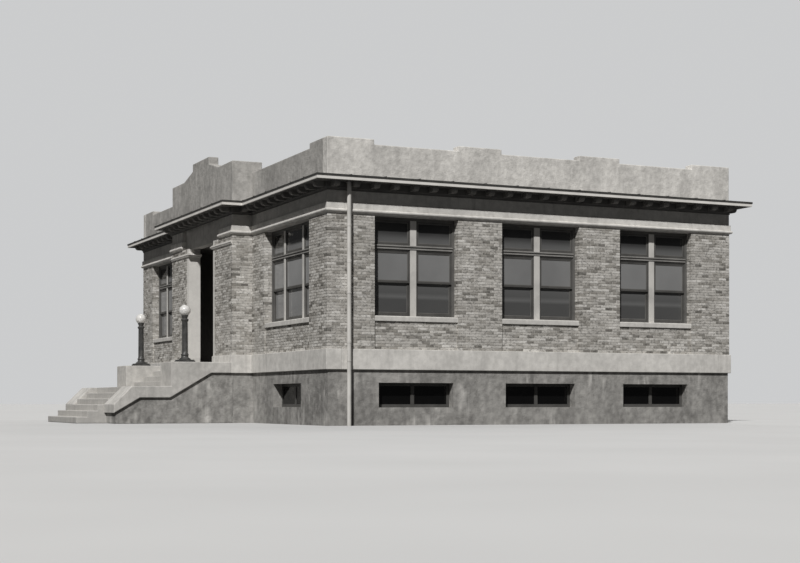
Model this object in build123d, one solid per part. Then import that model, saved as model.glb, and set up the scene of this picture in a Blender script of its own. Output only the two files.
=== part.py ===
from build123d import *
import os
from math import cos, pi, sin

# A small-town public library: one main storey over a raised basement, with a projecting
# entrance bay, a bracketed flat eave, a stuccoed parapet and a divided flight of steps.
# Millimetres. X runs along the front, the front faces -Y, and Z is up. The origin is at
# ground level in the middle of the main body's plan.

# Plan
WING_LENGTH = 5280        # front wall from a body corner to the side of the entrance bay
BAY_WIDTH = 5600          # entrance bay, across both of its piers
BAY_PROJECTION = 540      # entrance bay in front of the wings
WALL = 350                # outer wall, through
SIDE_PIER = 1180          # brick piers of the side and rear walls, and the corner piers there
SIDE_WINDOW = 2190        # clear width between the side piers
SIDE_WINDOWS = 3          # window bays of one side wall
REAR_WINDOWS = 4
FRONT_PIER = 1140         # brick pier between a wing window and the corner
INNER_PIER = 960          # brick pier between a wing window and the entrance bay
PORCH_OPENING = 2300      # clear width of the entrance opening
JAMB_STRIP = 150          # plastered strip on each side of the opening
PORCH_DEPTH = 1800        # from the bay's face to the wall with the doors
PORCH_WIDTH = 4600        # inside the porch, wider than its opening
PORCH_WALL = 150          # porch side walls and ceiling
PORCH_BACK_WALL = 200

# Heights
BASEMENT_SLAB = 120
BAND_BELOW_FLOOR = 280    # cement water table, down and up from the floor's level
BAND_ABOVE_FLOOR = 200
FLOOR_SLAB = 200
SILL_RISE = 800           # from the water table's top to the sill's
SILL_HEIGHT = 140
WINDOW_HEIGHT = 2320
FRIEZE_HEIGHT = 730       # from the window heads to the soffit
ROOF_SLAB = 100
PARAPET_HEIGHT = 820      # this and the four below stand on the roof
PARAPET_RAISE = 120       # raised lengths over the piers
BAY_PARAPET_HEIGHT = 1110
SHOULDER_HEIGHT = 1310
TABLET_HEIGHT = 1510

# Faces, measured outwards from the brick
BASEMENT_SETBACK = 20
BAND_PROJECTION = 40
APRON_RECESS = 50
PIER_BLOCK = 1030         # plain blocks of the frieze over the entrance piers
FRIEZE_RECESS = 110       # frieze over the entrance, behind its pier blocks
EAVE_OVERHANG = 420
FASCIA_THICKNESS = 25
FASCIA_HEIGHT = 75

# Belt course and imposts
BELT_HEIGHT = 250
BELT_FASCIA = 135         # upper flat face
BELT_BEAD = 85            # projecting lower face
BELT_PROJECTION = 35
BEAD_PROJECTION = 70
BELT_SLOPE = 35           # degrees from upright, on the underside
IMPOST_HEIGHT = 110
IMPOST_DROP = 130         # from the belt's underside down to the impost's top
IMPOST_PROJECTION = 50
IMPOST_RETURN = 150       # into the entrance opening

# Brackets and bed moulding
BRACKET_PITCH = 503       # about, made even along each wall
BRACKET_END = 130         # from a corner to the nearest bracket's middle
BRACKET_WIDTH = 150
BRACKET_HEIGHT = 130
BRACKET_REACH = 300
BRACKET_CURVE = 95        # radius of the lower front, worked in two flats
BED_HEIGHT = 200
BED_THICKNESS = 45

# Parapet
PARAPET_THICKNESS = 280
TABLET_HALF = 750
SHOULDER_HALF = 1600

# Windows
REVEAL = 200              # brick face to the frame
FRAME_DEPTH = 130
FRAME_FACE = 60           # jambs and head
MULLION = 160
FRONT_MULLION = 80
FRONT_MULLION_OFFSET = 640
TRANSOM_BOTTOM = 1550     # above the sill
TRANSOM = 130
MEETING_RAIL = 810        # middle of the rail, above the sill
SASH_FACE = 50
SASH_DEPTH = 40
BOTTOM_RAIL = 80
GLASS = 6
BASEMENT_WINDOW = 1950
BASEMENT_SILL = 420
BASEMENT_HEAD = 1000
BASEMENT_REVEAL = 250
BASEMENT_MULLION = 70

# Entrance doors
DOOR_OPENING = 1760
DOOR_HEAD = 2300          # above the floor
DOOR_TRANSOM_HEIGHT = 520
DOOR_THICKNESS = 60
DOOR_STILE = 120
DOOR_LOCK_RAIL = 820      # top of the solid lower panel
DOOR_PANEL_RECESS = 15

# Steps and their side walls, with distances measured out from the wings' face
RISER = 158
TREAD = 270
UPPER_RISERS = 4
LOWER_RISERS = 6
TERRACE_EDGE = 1150
LANDING_EDGE = 3030
CHEEK_THICKNESS = 1050
CHEEK_BLOCK_END = 2180    # end of the tall block that carries the lamp
CHEEK_SLOPE_START = 3200
CHEEK_END = 3670
CHEEK_NOSE_DROP = 458     # from the landing's level to the low end's top
CHEEK_LEAD = 30           # the sloping edges start this far before the nosings
CHEEK_FACE = 290          # light face, from the landing's level down to the base

# Lamps
LAMP_FROM_SIDE = 640      # from the side wall's outer face and from its block's front
LAMP_FROM_FRONT = 540
LAMP_BASE_WIDTH = 440
LAMP_BASE_HEIGHT = 70
LAMP_FOOT_RADIUS = 150
LAMP_FOOT_HEIGHT = 50
LAMP_COLLAR_RADIUS = 100
LAMP_COLLAR_START = 110   # above the square base
LAMP_COLLAR_HEIGHT = 40
LAMP_POST_RADIUS = 80
LAMP_SHAFT_HEIGHT = 1100  # above the side wall
LAMP_CAP_RADIUS = 96
LAMP_CAP_HEIGHT = 25
LAMP_FLUTES = 10
LAMP_FLUTE_RADIUS = 17
LAMP_FLUTE_SIDES = 8
LAMP_FLUTE_MARGIN = 50    # plain shaft at each end of a flute
GLOBE_RADIUS = 150
GLOBE_RISE = 250          # from the shaft's top to the globe's centre
GLOBE_RINGS = 12
GLOBE_CLEARANCE = 0.3
ROUND_SIDES = 20          # flats of the round pieces

# Downspouts
PIPE_RADIUS = 50
PIPE_WALL = 4
PIPE_SIDES = 12
PIPE_FROM_CORNER = 490
PIPE_CLEARANCE = 10
STRAP_HEIGHT = 40
STRAP_WIDTH = 36
STRAP_THICKNESS = 6
STRAP_MARGIN = 300        # from the water table's top and the window heads

# Worked out from the above
LANDING_TOP = RISER * LOWER_RISERS
FLOOR_TOP = LANDING_TOP + RISER * UPPER_RISERS
BAND_BOTTOM = FLOOR_TOP - BAND_BELOW_FLOOR
BAND_TOP = FLOOR_TOP + BAND_ABOVE_FLOOR
SILL_TOP = BAND_TOP + SILL_RISE
HEAD = SILL_TOP + WINDOW_HEIGHT
SOFFIT = HEAD + FRIEZE_HEIGHT
ROOF_TOP = SOFFIT + ROOF_SLAB
PARAPET_TOP = ROOF_TOP + PARAPET_HEIGHT
BAY_PARAPET_TOP = ROOF_TOP + BAY_PARAPET_HEIGHT
SHOULDER_TOP = ROOF_TOP + SHOULDER_HEIGHT
TABLET_TOP = ROOF_TOP + TABLET_HEIGHT
LANDING_START = TERRACE_EDGE + TREAD * (UPPER_RISERS - 1)
HALF_BAY = BAY_WIDTH / 2
HALF_WIDTH = HALF_BAY + WING_LENGTH
HALF_DEPTH = (SIDE_PIER * (SIDE_WINDOWS + 1) + SIDE_WINDOW * SIDE_WINDOWS) / 2
HALF_OPENING = PORCH_OPENING / 2
HALF_PORCH = PORCH_WIDTH / 2
HALF_FRIEZE = HALF_BAY - PIER_BLOCK
FRONT = -HALF_DEPTH
BAY_FRONT = FRONT - BAY_PROJECTION
FRONT_WINDOW = WING_LENGTH - FRONT_PIER - INNER_PIER
FRONT_WINDOW_CENTRE = HALF_BAY + INNER_PIER + FRONT_WINDOW / 2
REAR_PIER = (2 * HALF_WIDTH - 2 * SIDE_PIER - REAR_WINDOWS * SIDE_WINDOW) / (REAR_WINDOWS - 1)
OUTER_CHEEK = HALF_BAY + BAND_PROJECTION
INNER_CHEEK = OUTER_CHEEK - CHEEK_THICKNESS
STAIR_START = BAY_PROJECTION + BAND_PROJECTION
PORCH_BACK = BAY_FRONT + PORCH_DEPTH
LAMP_X = OUTER_CHEEK - LAMP_FROM_SIDE
LAMP_Y = FRONT - CHEEK_BLOCK_END + LAMP_FROM_FRONT
SHAFT_TOP = FLOOR_TOP + LAMP_SHAFT_HEIGHT
GLOBE_CENTRE = SHAFT_TOP + GLOBE_RISE
HIGH = 2 * TABLET_TOP


def block(x, y, z):
    """A box from three (low, high) pairs."""
    size = [high - low for low, high in (x, y, z)]
    middle = [(high + low) / 2 for low, high in (x, y, z)]
    return Pos(*middle) * Box(*size)


def plan(points, low, high):
    """A prism over a plan outline."""
    return Pos(0, 0, low) * extrude(make_face(Polyline(*points, close=True)), high - low)


def side_profile(points, x_low, x_high):
    """A prism along X over an outline of (distance out from the wings' face, height)."""
    outline = [(FRONT - out, height) for out, height in points]
    face = Plane.YZ * make_face(Polyline(*outline, close=True))
    return Pos(x_low, 0, 0) * extrude(face, x_high - x_low)


def pair(shape):
    """A piece on the right and its mirror image on the left."""
    return [shape, mirror(shape, about=Plane.YZ)]


def outline(offset):
    """The body's plan with its entrance bay, moved outwards by offset."""
    right, front, rear = HALF_WIDTH + offset, FRONT - offset, HALF_DEPTH + offset
    bay, bay_front = HALF_BAY + offset, BAY_FRONT - offset
    return [(-right, front), (-bay, front), (-bay, bay_front), (bay, bay_front),
            (bay, front), (right, front), (right, rear), (-right, rear)]


def ring(outer, inner, low, high):
    """A closed band round the plan, between two offsets."""
    return plan(outline(outer), low, high) - plan(outline(inner), low, high)


def walls(offset, low, high, thickness=WALL):
    """One level of the outer walls, as its front, its two sides and its rear."""
    band = ring(offset, -thickness, low, high)
    span, deep, far = HALF_WIDTH - thickness, HALF_DEPTH - thickness, 2 * HALF_WIDTH
    front = band & block((-far, far), (-far, -deep), (0, HIGH))
    rear = band & block((-far, far), (deep, far), (0, HIGH))
    right = band & block((span, far), (-deep, deep), (0, HIGH))
    return front, pair(right), rear


def on_wall(angle, distance, along, height):
    """The place of a piece drawn facing -Y: a wall's direction, its face, and a point on it."""
    return Rot(0, 0, angle) * Pos(along, -distance, height)


def row(count, pitch):
    """Places of a centred row."""
    return [(index - (count - 1) / 2) * pitch for index in range(count)]


def window_places():
    """Each main window as its wall's name, place and width, with the frame's face at y 0."""
    places = [("front", on_wall(0, HALF_DEPTH, x, 0), FRONT_WINDOW)
              for x in (-FRONT_WINDOW_CENTRE, FRONT_WINDOW_CENTRE)]
    for angle in (90, -90):
        for along in row(SIDE_WINDOWS, SIDE_WINDOW + SIDE_PIER):
            places.append(("sides", on_wall(angle, HALF_WIDTH, along, 0), SIDE_WINDOW))
    for along in row(REAR_WINDOWS, SIDE_WINDOW + REAR_PIER):
        places.append(("rear", on_wall(180, HALF_DEPTH, along, 0), SIDE_WINDOW))
    return places


def lights(width, mullion, offset):
    """Clear spans between the frame's jambs and its mullions."""
    half = width / 2 - FRAME_FACE
    if offset:
        return [(-half, -offset - mullion / 2), (-offset + mullion / 2, offset - mullion / 2),
                (offset + mullion / 2, half)]
    return [(-half, -mullion / 2), (mullion / 2, half)]


def sash(span, low, high, depth, bottom=SASH_FACE):
    """A sash and its pane, with the sash's outer face at y = depth."""
    left, right = span
    pane_x = (left + SASH_FACE, right - SASH_FACE)
    pane_z = (low + bottom, high - SASH_FACE)
    middle = depth + SASH_DEPTH / 2
    rim = block(span, (depth, depth + SASH_DEPTH), (low, high))
    rim -= block(pane_x, (depth, depth + SASH_DEPTH), pane_z)
    pane = block(pane_x, (middle - GLASS / 2, middle + GLASS / 2), pane_z)
    return rim, pane


def main_window(width, mullion, offset):
    """A window with a transom light over a double-hung sash in each of its lights."""
    frame = block((-width / 2, width / 2), (REVEAL, REVEAL + FRAME_DEPTH), (0, WINDOW_HEIGHT))
    panes = []
    transom_top = TRANSOM_BOTTOM + TRANSOM
    head = WINDOW_HEIGHT - FRAME_FACE
    outer = REVEAL + FRAME_DEPTH / 2 - SASH_DEPTH
    inner = outer + SASH_DEPTH
    for span in lights(width, mullion, offset):
        for low, high in ((0, TRANSOM_BOTTOM), (transom_top, head)):
            frame -= block(span, (REVEAL, REVEAL + FRAME_DEPTH), (low, high))
        meeting = (MEETING_RAIL - SASH_FACE / 2, MEETING_RAIL + SASH_FACE / 2)
        for low, high, depth, bottom in ((transom_top, head, outer, SASH_FACE),
                                         (meeting[0], TRANSOM_BOTTOM, outer, SASH_FACE),
                                         (0, meeting[1], inner, BOTTOM_RAIL)):
            rim, pane = sash(span, low, high, depth, bottom)
            frame += rim
            panes.append(pane)
    return frame, panes


def basement_window():
    """A low window of two fixed lights."""
    height = BASEMENT_HEAD - BASEMENT_SILL
    depth = (BASEMENT_REVEAL, BASEMENT_REVEAL + SASH_DEPTH)
    frame = block((-BASEMENT_WINDOW / 2, BASEMENT_WINDOW / 2), depth, (0, height))
    panes = []
    middle = BASEMENT_REVEAL + SASH_DEPTH / 2
    for left, right in lights(BASEMENT_WINDOW, BASEMENT_MULLION, 0):
        z = (FRAME_FACE, height - FRAME_FACE)
        frame -= block((left, right), depth, z)
        panes.append(block((left, right), (middle - GLASS / 2, middle + GLASS / 2), z))
    return frame, panes


def belt_course():
    """Upper fascia, projecting bead and sloping underside, stopped over the entrance piers."""
    top = HEAD + BELT_HEIGHT
    fascia = ring(BELT_PROJECTION, 0, top - BELT_FASCIA, top)
    bead = ring(BEAD_PROJECTION, 0, top - BELT_FASCIA - BELT_BEAD, top - BELT_FASCIA)
    under = extrude(make_face(Polyline(*outline(BEAD_PROJECTION), close=True)),
                    -(BELT_HEIGHT - BELT_FASCIA - BELT_BEAD), taper=BELT_SLOPE)
    under = Pos(0, 0, top - BELT_FASCIA - BELT_BEAD) * under
    under -= plan(outline(0), 0, HIGH)
    end = HALF_FRIEZE - BEAD_PROJECTION
    gap = block((-end, end), (2 * BAY_FRONT, BAY_FRONT), (0, HIGH))
    return (fascia + bead + under) - gap


def imposts():
    """Capital mouldings across each pier's front and into the opening."""
    top = HEAD - IMPOST_DROP
    z = (top - IMPOST_HEIGHT, top)
    across = block((HALF_OPENING - IMPOST_RETURN, HALF_BAY),
                   (BAY_FRONT - IMPOST_PROJECTION, BAY_FRONT), z)
    into = block((HALF_OPENING - IMPOST_RETURN, HALF_OPENING),
                 (BAY_FRONT, BAY_FRONT + WALL), z)
    return pair(across + into)


def bracket():
    """An eave bracket drawn facing -Y from the bed moulding, with a worked lower front."""
    start, reach, low = -BED_THICKNESS, -BRACKET_REACH, -BRACKET_HEIGHT
    points = [(start, low), (start, 0), (reach, 0)]
    for quarter in (0, 0.5, 1):
        angle = quarter * pi / 2
        points.append((reach + BRACKET_CURVE * (1 - cos(angle)),
                       low + BRACKET_CURVE * (1 - sin(angle))))
    face = Plane.YZ * make_face(Polyline(*points, close=True))
    return Pos(-BRACKET_WIDTH / 2, 0, 0) * extrude(face, BRACKET_WIDTH)


def bracket_places():
    """Even rows of brackets along each wall, and one on each side of the entrance bay."""
    clear = EAVE_OVERHANG + BRACKET_WIDTH / 2
    wing = (HALF_BAY + clear, HALF_WIDTH - BRACKET_END)
    stretches = [(0, HALF_DEPTH, *wing), (0, HALF_DEPTH, -wing[1], -wing[0]),
                 (0, -BAY_FRONT, BRACKET_END - HALF_BAY, HALF_BAY - BRACKET_END),
                 (90, HALF_WIDTH, BRACKET_END - HALF_DEPTH, HALF_DEPTH - BRACKET_END),
                 (-90, HALF_WIDTH, BRACKET_END - HALF_DEPTH, HALF_DEPTH - BRACKET_END),
                 (180, HALF_DEPTH, BRACKET_END - HALF_WIDTH, HALF_WIDTH - BRACKET_END)]
    places = []
    for angle, distance, start, end in stretches:
        spaces = round((end - start) / BRACKET_PITCH)
        for index in range(spaces + 1):
            along = start + (end - start) * index / spaces
            places.append(on_wall(angle, distance, along, SOFFIT))
    bay_side = FRONT - BAY_PROJECTION / 2
    return places + [on_wall(90, HALF_BAY, bay_side, SOFFIT),
                     on_wall(-90, HALF_BAY, -bay_side, SOFFIT)]


def raised_profile(length, places, width):
    """A parapet's outline along its wall, raised over the piers at the given places."""
    low, high = PARAPET_TOP, PARAPET_TOP + PARAPET_RAISE
    wall = block((-length / 2, length / 2), (0, PARAPET_THICKNESS), (ROOF_TOP, low))
    for along in places:
        start = max(along - width / 2, -length / 2)
        end = min(along + width / 2, length / 2)
        wall += block((start, end), (0, PARAPET_THICKNESS), (low, high))
    return wall


def bay_parapet():
    """The entrance bay's higher parapet, with its raised tablet and sloping shoulders."""
    points = [(-HALF_BAY, ROOF_TOP), (HALF_BAY, ROOF_TOP), (HALF_BAY, BAY_PARAPET_TOP),
              (SHOULDER_HALF, BAY_PARAPET_TOP), (TABLET_HALF, SHOULDER_TOP),
              (TABLET_HALF, TABLET_TOP), (-TABLET_HALF, TABLET_TOP),
              (-TABLET_HALF, SHOULDER_TOP), (-SHOULDER_HALF, BAY_PARAPET_TOP),
              (-HALF_BAY, BAY_PARAPET_TOP)]
    face = Plane.XZ * make_face(Polyline(*points, close=True))
    front = Pos(0, BAY_FRONT + PARAPET_THICKNESS, 0) * extrude(face, PARAPET_THICKNESS)
    back = block((HALF_BAY - PARAPET_THICKNESS, HALF_BAY),
                 (BAY_FRONT + PARAPET_THICKNESS, FRONT + PARAPET_THICKNESS),
                 (ROOF_TOP, BAY_PARAPET_TOP))
    left, right = pair(back)
    return front + left + right


def steps(start, end, top, risers):
    """The outline of a solid flight: level from start to end, then down by its risers."""
    points = [(start, 0), (start, top)]
    for index in range(risers):
        points += [(end + index * TREAD, top - index * RISER),
                   (end + index * TREAD, top - (index + 1) * RISER)]
    return points


def cheek():
    """A side wall of the steps and the base that it overhangs, on the right."""
    slope = RISER / TREAD
    low = LANDING_TOP - CHEEK_FACE
    first, second = TERRACE_EDGE - CHEEK_LEAD, LANDING_EDGE - CHEEK_LEAD
    nose_bottom = low - slope * (CHEEK_END - second)
    under = [(STAIR_START, BAND_BOTTOM), (first, BAND_BOTTOM),
             (first + (BAND_BOTTOM - low) / slope, low), (second, low),
             (CHEEK_END, nose_bottom)]
    nose_top = LANDING_TOP - CHEEK_NOSE_DROP
    top = [(CHEEK_END, nose_top), (CHEEK_SLOPE_START, LANDING_TOP),
           (CHEEK_BLOCK_END, LANDING_TOP), (CHEEK_BLOCK_END, FLOOR_TOP),
           (STAIR_START, FLOOR_TOP)]
    inset = BAND_PROJECTION + BASEMENT_SETBACK
    wall = side_profile(under + top, INNER_CHEEK, OUTER_CHEEK)
    start = BAY_PROJECTION - BASEMENT_SETBACK
    base = side_profile([(start, 0), (start, BAND_BOTTOM)] + under[1:] + [(CHEEK_END, 0)],
                        INNER_CHEEK, OUTER_CHEEK - inset)
    base -= block((0, 2 * HALF_BAY), (FRONT - CHEEK_END, FRONT - CHEEK_END + inset), (0, HIGH))
    return wall, base


def turned(rings, sides=ROUND_SIDES):
    """An upright round piece worked in flats, through rings of (radius, height)."""
    loops = []
    for radius, height in rings:
        turns = [2 * pi * side / sides for side in range(sides)]
        loops.append([(radius * cos(turn), radius * sin(turn), height) for turn in turns])
    faces = [Face(Wire.make_polygon(loops[0])), Face(Wire.make_polygon(loops[-1]))]
    for lower, upper in zip(loops, loops[1:]):
        for side in range(sides):
            flat = [lower[side - 1], lower[side], upper[side], upper[side - 1]]
            faces.append(Face(Wire.make_polygon(flat)))
    return Solid(Shell(faces))


def drum(radius, low, high, sides=ROUND_SIDES):
    """An upright round piece of one radius."""
    return turned([(radius, low), (radius, high)], sides)


def globe(radius):
    """A ball about the globe's centre."""
    turns = [pi * ((index + 0.5) / GLOBE_RINGS - 0.5) for index in range(GLOBE_RINGS)]
    return turned([(radius * cos(turn), GLOBE_CENTRE + radius * sin(turn)) for turn in turns])


def lamp_post():
    """Square base, turned foot and collar, fluted shaft, and a neck hollowed to the globe."""
    half = LAMP_BASE_WIDTH / 2
    foot = FLOOR_TOP + LAMP_BASE_HEIGHT
    collar = foot + LAMP_COLLAR_START
    collar_top = collar + LAMP_COLLAR_HEIGHT
    flute_low, flute_high = collar_top + LAMP_FLUTE_MARGIN, SHAFT_TOP - LAMP_FLUTE_MARGIN
    flute = drum(LAMP_FLUTE_RADIUS, flute_low, flute_high, LAMP_FLUTE_SIDES)
    shaft = drum(LAMP_POST_RADIUS, foot, GLOBE_CENTRE)
    for place in PolarLocations(LAMP_POST_RADIUS, LAMP_FLUTES):
        shaft -= place * flute
    shaft += turned([(LAMP_FOOT_RADIUS, foot), (LAMP_POST_RADIUS, foot + LAMP_FOOT_HEIGHT)])
    shaft += drum(LAMP_COLLAR_RADIUS, collar, collar_top)
    shaft += drum(LAMP_CAP_RADIUS, SHAFT_TOP, SHAFT_TOP + LAMP_CAP_HEIGHT)
    shaft -= globe(GLOBE_RADIUS + GLOBE_CLEARANCE)
    base = block((-half, half), (-half, half), (FLOOR_TOP, foot))
    return Pos(LAMP_X, LAMP_Y, 0) * (base + shaft)


def lamp_globe():
    """The globe on its neck."""
    return Pos(LAMP_X, LAMP_Y, 0) * globe(GLOBE_RADIUS)


def downspout():
    """A pipe from the soffit to the ground, with a strap to the wall at three heights."""
    stand_off = BEAD_PROJECTION + PIPE_CLEARANCE + PIPE_RADIUS
    bore = extrude(RegularPolygon(PIPE_RADIUS - PIPE_WALL, PIPE_SIDES), SOFFIT)
    pipe = extrude(RegularPolygon(PIPE_RADIUS, PIPE_SIDES), SOFFIT)
    loop = extrude(RegularPolygon(PIPE_RADIUS + STRAP_THICKNESS, PIPE_SIDES), STRAP_HEIGHT)
    low, high = BAND_TOP - STRAP_MARGIN, HEAD - STRAP_MARGIN
    for height, face in ((low, BAND_PROJECTION), ((low + high) / 2, 0), (high, 0)):
        tail = block((face - stand_off, 0), (-STRAP_WIDTH / 2, STRAP_WIDTH / 2),
                     (height, height + STRAP_HEIGHT))
        pipe += tail + Pos(0, 0, height) * loop
    return Pos(HALF_WIDTH + stand_off, FRONT + PIPE_FROM_CORNER, 0) * (pipe - bore)


def entrance_doors():
    """A closed pair of doors with glass over a solid panel, in a frame with a transom light."""
    half, face = DOOR_OPENING / 2, FRAME_FACE
    top = DOOR_HEAD + FRAME_FACE + DOOR_TRANSOM_HEIGHT
    y = (PORCH_BACK, PORCH_BACK + FRAME_DEPTH)
    frame = block((-half, half), y, (0, top))
    frame -= block((face - half, half - face), y, (0, DOOR_HEAD))
    frame -= block((face - half, half - face), y, (DOOR_HEAD + face, top - face))
    middle = PORCH_BACK + FRAME_DEPTH / 2
    leaf_y = (middle - DOOR_THICKNESS / 2, middle + DOOR_THICKNESS / 2)
    pane_y = (middle - GLASS / 2, middle + GLASS / 2)
    leaf_x, pane_x = (0, half - face), (DOOR_STILE, half - face - DOOR_STILE)
    pane_z = (DOOR_LOCK_RAIL, DOOR_HEAD - DOOR_STILE)
    leaf = block(leaf_x, leaf_y, (0, DOOR_HEAD)) - block(pane_x, leaf_y, pane_z)
    recess = (leaf_y[0], leaf_y[0] + DOOR_PANEL_RECESS)
    leaf -= block(pane_x, recess, (2 * DOOR_STILE, DOOR_LOCK_RAIL - DOOR_STILE))
    for piece in pair(leaf):
        frame += piece
    panes = pair(block(pane_x, pane_y, pane_z))
    panes.append(block((face - half, half - face), pane_y, (DOOR_HEAD + face, top - face)))
    lift = Pos(0, 0, FLOOR_TOP)
    return lift * frame, [lift * pane for pane in panes], top


def write(name, pieces):
    """One file for one named piece of the building, or for its separate like pieces."""
    solids = []
    for piece in pieces if isinstance(pieces, list) else [pieces]:
        solids += piece.solids()
    export_step(Compound(children=solids), f"parts/{name}.step")


os.makedirs("parts", exist_ok=True)

# Cutters shared by the walls of the main storey and the basement
windows = window_places()
bay_cuts = []
basement_cuts = []
for wall, place, width in windows:
    bay_cuts.append(place * block((-width / 2, width / 2), (-WALL, 2 * WALL), (0, HIGH)))
    half = BASEMENT_WINDOW / 2
    basement_cuts.append(place * block((-half, half), (-WALL, 2 * WALL),
                                       (BASEMENT_SILL, BASEMENT_HEAD)))
opening = block((-HALF_OPENING, HALF_OPENING), (2 * BAY_FRONT, BAY_FRONT + WALL), (0, HIGH))
strip = block((HALF_OPENING, HALF_OPENING + JAMB_STRIP), (2 * BAY_FRONT, BAY_FRONT + WALL),
              (0, HIGH))

# Basement
front, sides, rear = walls(-BASEMENT_SETBACK, 0, BAND_BOTTOM)
for cut in basement_cuts:
    front, rear = front - cut, rear - cut
    sides = [side - cut for side in sides]
write("basement_wall_front", front)
write("basement_wall_sides", sides)
write("basement_wall_rear", rear)
write("basement_floor", plan(outline(-WALL), 0, BASEMENT_SLAB))

# Cement water table
front, sides, rear = walls(BAND_PROJECTION, BAND_BOTTOM, BAND_TOP)
write("water_table_front", front - opening)
write("water_table_sides", sides)
write("water_table_rear", rear)

# Main floor, with the porch floor out to the face of the bay
main_floor = plan(outline(-WALL), FLOOR_TOP - FLOOR_SLAB, FLOOR_TOP)
main_floor += block((-HALF_OPENING, HALF_OPENING),
                    (BAY_FRONT - BAND_PROJECTION, BAY_FRONT + WALL),
                    (FLOOR_TOP - FLOOR_SLAB, FLOOR_TOP))
write("main_floor", main_floor)

# Brick piers of the main storey
brick = ring(0, -WALL, BAND_TOP, HEAD) - opening
for piece in pair(strip):
    brick -= piece
for cut in bay_cuts:
    brick -= cut
corner_piers, entrance_piers, wall_piers = [], [], []
for pier in brick.solids():
    place = pier.bounding_box().center()
    if abs(place.X) > HALF_WIDTH - SIDE_PIER and abs(place.Y) > HALF_DEPTH - SIDE_PIER:
        corner_piers.append(pier)
    elif place.Y < FRONT + WALL:
        entrance_piers.append(pier)
    else:
        wall_piers.append(pier)
write("corner_piers", corner_piers)
write("entrance_piers", entrance_piers)
write("wall_piers", wall_piers)

# Brick aprons under the windows, and the sills over them
aprons, sills = [], []
for wall, place, width in windows:
    span = (-width / 2, width / 2)
    aprons.append(place * block(span, (APRON_RECESS, WALL), (BAND_TOP, SILL_TOP - SILL_HEIGHT)))
    sills.append(place * block(span, (-BAND_PROJECTION, WALL),
                               (SILL_TOP - SILL_HEIGHT, SILL_TOP)))
write("window_aprons", aprons)
write("window_sills", sills)

# Windows
front_frame, front_panes = main_window(FRONT_WINDOW, FRONT_MULLION, FRONT_MULLION_OFFSET)
side_frame, side_panes = main_window(SIDE_WINDOW, MULLION, 0)
low_frame, low_panes = basement_window()
frames = {"front": [], "sides": [], "rear": []}
basement_frames, glass = [], []
for wall, place, width in windows:
    frame, panes = (front_frame, front_panes) if wall == "front" else (side_frame, side_panes)
    seat = place * Pos(0, 0, SILL_TOP)
    low_seat = place * Pos(0, 0, BASEMENT_SILL)
    frames[wall].append(seat * frame)
    glass += [seat * pane for pane in panes]
    basement_frames.append(low_seat * low_frame)
    glass += [low_seat * pane for pane in low_panes]
for wall, pieces in frames.items():
    write(f"window_frames_{wall}", pieces)
write("basement_window_frames", basement_frames)

# Porch
doors, door_panes, door_top = entrance_doors()
glass += door_panes
write("entrance_doors", doors)
write("glass", glass)
lining = block((HALF_OPENING, HALF_OPENING + JAMB_STRIP), (BAY_FRONT, BAY_FRONT + WALL),
               (BAND_TOP, HEAD))
side_wall = block((HALF_PORCH, HALF_PORCH + PORCH_WALL),
                  (BAY_FRONT + WALL, PORCH_BACK + PORCH_BACK_WALL), (FLOOR_TOP, HEAD))
write("porch_walls", pair(lining) + pair(side_wall))
back_wall = block((-HALF_PORCH, HALF_PORCH), (PORCH_BACK, PORCH_BACK + PORCH_BACK_WALL),
                  (FLOOR_TOP, HEAD))
back_wall -= block((-DOOR_OPENING / 2, DOOR_OPENING / 2),
                   (PORCH_BACK, PORCH_BACK + PORCH_BACK_WALL), (0, FLOOR_TOP + door_top))
write("porch_back_wall", back_wall)
write("porch_ceiling", block((-HALF_PORCH - PORCH_WALL, HALF_PORCH + PORCH_WALL),
                             (BAY_FRONT + WALL, PORCH_BACK + PORCH_BACK_WALL),
                             (HEAD, HEAD + PORCH_WALL)))
write("imposts", imposts())

# Frieze walls over the window heads, and the belt course on them
front, sides, rear = walls(0, HEAD, SOFFIT)
front -= block((-HALF_FRIEZE, HALF_FRIEZE), (2 * BAY_FRONT, BAY_FRONT + FRIEZE_RECESS),
               (0, HIGH))
write("frieze_front", front)
write("frieze_sides", sides)
write("frieze_rear", rear)
write("belt_course", belt_course())

# Eave and roof
write("bed_moulding", ring(BED_THICKNESS, 0, SOFFIT - BED_HEIGHT, SOFFIT))
one_bracket = bracket()
write("eave_brackets", [place * one_bracket for place in bracket_places()])
edge = EAVE_OVERHANG - FASCIA_THICKNESS
write("roof_slab", block((-HALF_WIDTH - edge, HALF_WIDTH + edge),
                         (FRONT - edge, HALF_DEPTH + edge), (SOFFIT, ROOF_TOP)))
write("bay_roof_slab", block((-HALF_BAY - edge, HALF_BAY + edge),
                             (BAY_FRONT - edge, FRONT - edge), (SOFFIT, ROOF_TOP)))
write("eave_fascia", ring(EAVE_OVERHANG, edge, SOFFIT, SOFFIT + FASCIA_HEIGHT))

# Parapets
side_length = 2 * HALF_DEPTH
side_piers = row(SIDE_WINDOWS + 1, SIDE_WINDOW + SIDE_PIER)
right_parapet = on_wall(90, HALF_WIDTH, 0, 0) * raised_profile(side_length, side_piers, SIDE_PIER)
write("parapet_sides", pair(right_parapet))
rear_length = 2 * (HALF_WIDTH - PARAPET_THICKNESS)
rear_piers = row(REAR_WINDOWS + 1, SIDE_WINDOW + REAR_PIER)
write("parapet_rear", on_wall(180, HALF_DEPTH, 0, 0) * raised_profile(rear_length, rear_piers,
                                                                     REAR_PIER))
wing_length = WING_LENGTH - PARAPET_THICKNESS
wing_centre = HALF_BAY + wing_length / 2
wing = raised_profile(wing_length, [wing_length / 2 - FRONT_PIER / 2 + PARAPET_THICKNESS],
                      FRONT_PIER)
write("parapet_front", pair(on_wall(0, HALF_DEPTH, wing_centre, 0) * wing))
write("parapet_bay", bay_parapet())

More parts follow.
